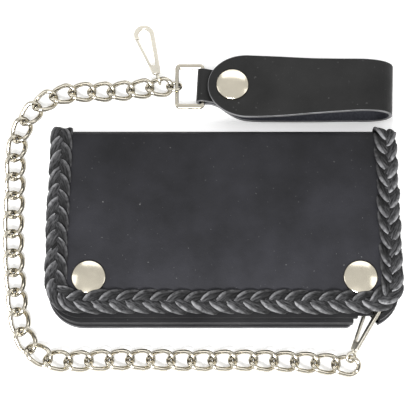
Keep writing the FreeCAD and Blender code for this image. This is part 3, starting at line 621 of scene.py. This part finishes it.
# --- braid -----------------------------------------------------------------------------------------
class BraidLine:
    """The braid's middle line: over the fold at the right, down, along the free edge, and up the left."""

    def __init__(self):
        self.half_x = BRAID_HIGH.x - BRAID_INSET
        self.low_y = BRAID_LOW.y + BRAID_INSET
        self.bend_r = BRAID_MID_Z - (FLAP_Z - FOLD_R)
        tail = 1.5                      # the braid goes on this far down the spine, past the fold's bend
        bend = self.bend_r * math.pi / 2
        side = FOLD_Y - self.low_y - BRAID_CORNER_R
        corner = BRAID_CORNER_R * math.pi / 2
        bottom = 2 * (self.half_x - BRAID_CORNER_R)
        self.parts = [tail, bend, side, corner, bottom, corner, side, bend, tail]
        self.length = sum(self.parts)

    def __call__(self, u):
        """Centre, forward, outward and up at u."""
        mirrored = u > self.length / 2
        if mirrored:
            u = self.length - u
        tail, bend, side, corner = self.parts[:4]
        x, z = self.half_x, BRAID_MID_Z
        pivot_z = BRAID_MID_Z - self.bend_r
        if u < tail:
            centre = Vector((x, FOLD_Y + self.bend_r, pivot_z - (tail - u)))
            forward, outward, up = Vector((0, 0, 1)), Vector((1, 0, 0)), Vector((0, 1, 0))
        elif u < tail + bend:
            angle = (u - tail) / self.bend_r
            up = Vector((0, math.cos(angle), math.sin(angle)))
            centre = Vector((x, FOLD_Y, pivot_z)) + up * self.bend_r
            forward, outward = Vector((0, -math.sin(angle), math.cos(angle))), Vector((1, 0, 0))
        elif u < tail + bend + side:
            centre = Vector((x, FOLD_Y - (u - tail - bend), z))
            forward, outward, up = Vector((0, -1, 0)), Vector((1, 0, 0)), Vector((0, 0, 1))
        elif u < tail + bend + side + corner:
            angle = (u - tail - bend - side) / BRAID_CORNER_R
            outward = Vector((math.cos(angle), -math.sin(angle), 0))
            middle = Vector((x - BRAID_CORNER_R, self.low_y + BRAID_CORNER_R, z))
            centre = middle + outward * BRAID_CORNER_R
            forward, up = Vector((-math.sin(angle), -math.cos(angle), 0)), Vector((0, 0, 1))
        else:
            centre = Vector((x - BRAID_CORNER_R - (u - tail - bend - side - corner), self.low_y, z))
            forward, outward, up = Vector((-1, 0, 0)), Vector((0, -1, 0)), Vector((0, 0, 1))
        if mirrored:
            centre.x, outward.x = -centre.x, -outward.x
            forward = Vector((forward.x, -forward.y, -forward.z))
        return centre, forward, outward, up


BRAID = BraidLine()

# A stitch's route as (forward, outward, up) from its place on the braid's middle line, and its share of full
# width. The inner stitch comes up out of a hole in the flap; the outer one comes round the flap's edge from
# underneath. Both then lean towards the middle line and end there under the stitch from the other side.
INNER_STITCH = (((-3.0, -3.6, -2.6), 0.40), ((-1.2, -3.7, -1.3), 0.60), ((1.2, -3.4, -0.2), 0.80),
                ((4.0, -2.8, 0.55), 0.95), ((6.5, -1.9, 1.0), 1.0), ((8.7, -0.7, 0.95), 0.88),
                ((10.6, 0.5, 0.4), 0.60), ((11.9, 1.3, -0.8), 0.35), ((12.6, 1.8, -2.0), 0.2))
OUTER_STITCH = (((-7.4, -4.6, -2.4), 0.5), ((-6.6, -4.2, -3.4), 0.62), ((-4.6, -1.2, -3.7), 0.8),
                ((-3.0, 2.2, -3.5), 0.8), ((-2.0, 4.1, -2.4), 0.75), ((-0.8, 4.35, -1.1), 0.78),
                ((1.4, 3.7, -0.1), 0.85), ((4.0, 2.9, 0.6), 0.95), ((6.5, 1.9, 1.0), 1.0),
                ((8.7, 0.7, 0.95), 0.88), ((10.6, -0.5, 0.4), 0.60), ((11.9, -1.3, -0.8), 0.35),
                ((12.6, -1.8, -2.0), 0.2))


def on_braid(u, v, w):
    """A point on the braid, which draws in a little towards the fold and dips under the snap caps."""
    centre, _, outward, up = BRAID(u)
    point = centre + outward * v + up * w
    rise = min(max((point.y - BRAID_LOW.y) / (BRAID_HIGH.y - BRAID_LOW.y), 0.0), 1.0)
    point.x -= math.copysign(BRAID_TAPER * rise * rise, point.x)
    for x, y in SNAPS:
        beyond = CAP_R + CAP_DIP_WIDTH - math.dist((x, y), point[:2])
        point.z -= CAP_DIP * smooth(beyond / CAP_DIP_WIDTH)
    return point


def stitch(laces, start, route, side, rough):
    """One stitch of the braid; side is 1 for the inner column and -1 for the outer one.

    Its lace lies square to the edge that it wraps, with its forward side raised over the next stitch.
    """
    swell = 1 + rough.uniform(-LACE_SWELL, LACE_SWELL)
    shift = Vector([rough.uniform(-most, most) for most in LACE_JITTER])
    tilt = side * LACE_TILT * rough.uniform(*LACE_LEAN)
    samples = spline([(*point, share) for point, share in route], 4)
    points = [on_braid(start + u + shift.x, v + shift.y, w + shift.z) for u, v, w, _ in samples]
    stations = []
    for i, (u, v, w, share) in enumerate(samples):
        along = (points[min(i + 1, len(points) - 1)] - points[max(i - 1, 0)]).normalized()
        _, _, outward, up = BRAID(start + u + shift.x)
        core_v = min(max(v, CORE_SIDES[0]), CORE_SIDES[1])
        away = (outward * (v - core_v) + up * (w + CORE_DROP)).normalized()
        across = along.cross(away).normalized()
        away = across.cross(along).normalized()
        tilted = across * math.cos(tilt) + away * math.sin(tilt)
        stations.append((points[i], tilted, tilted.cross(along).normalized(), LACE_HALF_WIDTH * share * swell,
                         LACE_HALF_THICKNESS * (0.7 + 0.3 * share)))
    laces.sweep(stations, oval(), rough.uniform(0, 50), side)


def flap_braid():
    rough = random.Random(5)
    laces = Laces()
    count = round(BRAID.length / LEAF_PITCH)
    pitch = BRAID.length / count
    for i in range(count):
        stitch(laces, pitch * i, INNER_STITCH, 1, rough)
        stitch(laces, pitch * (i + 0.5), OUTER_STITCH, -1, rough)
    return laces.build("flap_braid_laces", [LACE])


braid = flap_braid()
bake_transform(braid, "spine", "flap", start=point_m(0, SPINE_Y, 9.0), end=point_m(0, 38.0, FLAP_HIGH.z))
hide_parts("flap_braid")


# --- strap -----------------------------------------------------------------------------------------
def strap_point(u, v, z):
    """From distance along the strap, distance across it and height, to the whole object's frame."""
    return (STRAP_BAR.x + u * math.cos(STRAP_YAW) - v * math.sin(STRAP_YAW),
            STRAP_BAR.y + u * math.sin(STRAP_YAW) + v * math.cos(STRAP_YAW), z)


def width_curve(points):
    """Half width by distance, straight between closely sampled points of a smooth curve."""
    curve = spline(points, 10)

    def half_width(u):
        for a, b in zip(curve, curve[1:]):
            if u <= b[0]:
                return a[1] + (b[1] - a[1]) * max(0.0, u - a[0]) / max(1e-9, b[0] - a[0])
        return curve[-1][1]
    return half_width


def leaf_outline(length, spacing, half_width, tip):
    """Flat outline of a strap leaf: square at the fold, half_width(s) each side up to s = length, then tip."""
    steps = int(length / spacing)
    right = [(length * i / steps, -half_width(length * i / steps)) for i in range(steps + 1)]
    left = [(s, -v) for s, v in right[::-1]]
    fold = [(0.0, STRAP_FOLD_HALF_WIDTH - 2 * STRAP_FOLD_HALF_WIDTH * i / 16) for i in range(1, 16)]
    return right + tip + left + fold


def strap_leaf(name, side, outline, reach, materials, loops, thinning=lambda s: 1.0):
    """A strap leaf bent along its side view; reach is how far its middle line stops short of both ends."""
    def core(point):
        return min(max(point[0], reach), side.length - reach), 0.0

    def place(s, v, height):
        centre, normal = side(s)
        at = centre + normal * height * thinning(s)
        return strap_point(at.x, v, at.y)

    return leather_sheet(name, outline, STRAP_LEATHER, STRAP_RIM, core, place, materials, loops)


def upper_strap():
    """The leaf that lies on top, with the snap's cap at its round end."""
    side = SideView(spline([STRAP_FOLD, (97.4, 12.8), (92.6, 16.1), (84.0, 16.9), (70.0, 14.2), (50.0, 10.2),
                            (34.0, 7.8), (24.0, STRAP_SNAP_Z), (STRAP_SNAP_AT, STRAP_SNAP_Z),
                            (8.0, STRAP_SNAP_Z), (STRAP_TIP, STRAP_SNAP_Z + 0.1)], 8))
    width_at = width_curve([(STRAP_TIP, STRAP_HALF_WIDTH), (STRAP_TIP + STRAP_TIP_LENGTH, STRAP_HALF_WIDTH),
                            (40.0, 16.8), (60.0, 15.4), (80.0, 14.5),
                            (STRAP_FOLD[0] + 4, STRAP_FOLD_HALF_WIDTH)])
    straight = side.length - STRAP_TIP_LENGTH
    tip = [(straight + STRAP_TIP_LENGTH * math.sin(angle), -STRAP_HALF_WIDTH * math.cos(angle))
           for angle in map(math.radians, range(5, 180, 5))]
    outline = leaf_outline(straight, 1.5, lambda s: width_at(side(s)[0].x), tip)
    return strap_leaf("strap_upper_leather", side, outline, STRAP_HALF_WIDTH * 0.6,
                      (FLESH, STRAP, STRAP_EDGE), 12)


upper_leaf = upper_strap()
fold_at = strap_point(STRAP_FOLD[0], 0, STRAP_FOLD[1])
past_fold = strap_point(STRAP_FOLD[0] - 13.0, 0, STRAP_FOLD[1] + 7.0)
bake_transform(upper_leaf, "strap", "strap_leaf", start=point_m(*fold_at), end=point_m(*past_fold))
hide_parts("strap_upper")


def lower_strap():
    """The leaf on the table, whose narrow tab loops round the ring's bar and comes back on top of it."""
    loop = arc_points((0, CHAIN_Z), TAB_LOOP_R, -90, -270, 6)
    side = SideView(spline([STRAP_FOLD, (98.0, 6.4), (95.4, 3.6), (91.0, 1.7), (84.0, STRAP_LIE_Z),
                            (60.0, STRAP_LIE_Z), (30.0, STRAP_LIE_Z), (14.0, STRAP_LIE_Z), (5.0, STRAP_LIE_Z)]
                           + loop
                           + [(5.0, 4.1), (9.0, TAB_TOP_Z + 0.2), (16.0, TAB_TOP_Z), (30.0, TAB_TOP_Z)], 8))
    width_at = width_curve([(5.0, TAB_HALF_WIDTH), (9.0, 10.6), (14.0, 13.8), (20.0, 16.6),
                            (27.0, STRAP_HALF_WIDTH), (40.0, 17.0), (60.0, 16.0), (80.0, 14.7),
                            (STRAP_FOLD[0] + 4, STRAP_FOLD_HALF_WIDTH)])
    turn_back = next(at for at, point in zip(side.at, side.points) if point.x < 0)
    tip = [(side.length, -TAB_HALF_WIDTH + 2 * TAB_HALF_WIDTH * i / 12) for i in range(1, 12)]
    outline = leaf_outline(side.length, 1.2,
                           lambda s: TAB_HALF_WIDTH if s > turn_back else width_at(side(s)[0].x), tip)
    return strap_leaf("strap_lower_leather", side, outline, TAB_HALF_WIDTH * 0.7,
                      (STRAP, FLESH, STRAP_EDGE), 10,
                      lambda s: TAB_LEATHER / STRAP_LEATHER if s > turn_back - 4 else 1.0)


lower_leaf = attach(lower_strap(), "strap")
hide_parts("strap_lower")


# --- the frame's own parts -------------------------------------------------------------------------
def dress(nodes, finish):
    """Give the frame's own parts a material."""
    for node in nodes:
        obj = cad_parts[node]
        obj.data.materials.clear()
        obj.data.materials.append(finish)


dress([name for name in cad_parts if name.startswith("chain_link")], CHAIN_NICKEL)
dress(["end_ring", "strap_ring", "chain_grommet"], CHAIN_NICKEL)
dress(["wallet_clip", "wallet_clip_gate", "key_clip", "key_clip_gate"], CLIP_NICKEL)
dress(["snap_caps", "snap_sockets", "snap_studs", "strap_snap_cap", "strap_snap_socket", "strap_snap_stud"],
      SNAP_NICKEL)
dress(["pocket_gusset", "bill_divider", "card_slots_upper", "card_slots_lower", "pocket_front"], LINING)


# --- floor, light and camera -----------------------------------------------------------------------
CAMERA_ELEVATION = 73.0                 # degrees
CAMERA_TARGET = (-10.66, 14.35, 0)
CAMERA_DISTANCE = 0.7247                # in metres
CAMERA_LENS = 124.46


def floor():
    """A sheet of white paper under everything, glowing a little so that shadows stay faint."""
    mesh = bpy.data.meshes.new("floor")
    reach = 3.0
    mesh.from_pydata([(-reach, -reach, 0), (reach, -reach, 0), (reach, reach, 0), (-reach, reach, 0)], [],
                     [(0, 1, 2, 3)])
    made, tree, shader = material("floor_paper", Roughness=0.9, Emission_Color=(1, 1, 1, 1),
                                  Emission_Strength=0.30)
    at = place_coordinates(tree)
    tree.links.new(ramp(tree, noise(tree, at, 3.0), (0.3, (0.86, 0.86, 0.86)), (0.7, (0.89, 0.89, 0.885))),
                   shader.inputs["Base Color"])
    mesh.materials.append(made)
    plane = bpy.data.objects.new("floor", mesh)
    plane.location.z = min(0.0, cad_box[0][2]) - 0.2 * MM
    bpy.context.scene.collection.objects.link(plane)


def studio():
    """Soft white light from all round, brighter the higher it comes from."""
    world = bpy.data.worlds.new("studio")
    bpy.context.scene.world = world
    world.use_nodes = True
    tree = world.node_tree
    direction = add(tree, "ShaderNodeTexCoord").outputs["Generated"]
    height = add(tree, "ShaderNodeSeparateXYZ", {"Vector": direction}).outputs["Z"]
    light = ramp(tree, height, (0.02, (0.14, 0.14, 0.14)), (0.32, (0.2, 0.2, 0.2)), (0.5, (0.75, 0.75, 0.75)),
                 (0.8, (0.85, 0.85, 0.85)), (0.94, (0.9, 0.9, 0.9)))
    tree.links.new(light, tree.nodes["Background"].inputs["Color"])
    tree.nodes["Background"].inputs["Strength"].default_value = 1.0


def area_light(name, where, width, height, power):
    """A rectangular lamp at where, in metres, turned to the middle of the object."""
    data = bpy.data.lights.new(name, "AREA")
    data.shape = "RECTANGLE"
    data.size, data.size_y, data.energy = width, height, power
    light = bpy.data.objects.new(name, data)
    light.location = where
    light.rotation_euler = (-Vector(where)).to_track_quat("-Z", "Y").to_euler()
    bpy.context.scene.collection.objects.link(light)


def camera():
    """Looking steeply down at the table, from the side of the wallet's free edge."""
    elevation = math.radians(CAMERA_ELEVATION)
    target = Vector(point_m(*CAMERA_TARGET))
    data = bpy.data.cameras.new("camera")
    data.sensor_width = 36.0
    data.lens = CAMERA_LENS
    data.clip_start = 0.05
    view = bpy.data.objects.new("camera", data)
    view.location = target + Vector((0, -math.cos(elevation), math.sin(elevation))) * CAMERA_DISTANCE
    view.rotation_euler = (math.pi / 2 - elevation, 0, 0)
    bpy.context.scene.collection.objects.link(view)
    bpy.context.scene.camera = view


floor()
studio()
area_light("key", (-0.15, -0.75, 0.85), 0.5, 0.3, 20.0)
area_light("rim", (0.1, 1.0, 0.8), 1.2, 0.5, 3.0)
area_light("left", (-1.0, 0.1, 0.6), 0.5, 1.0, 2.5)
area_light("right", (1.0, 0.0, 0.7), 0.5, 1.0, 2.5)
camera()
bpy.context.scene.view_settings.view_transform = "Standard"
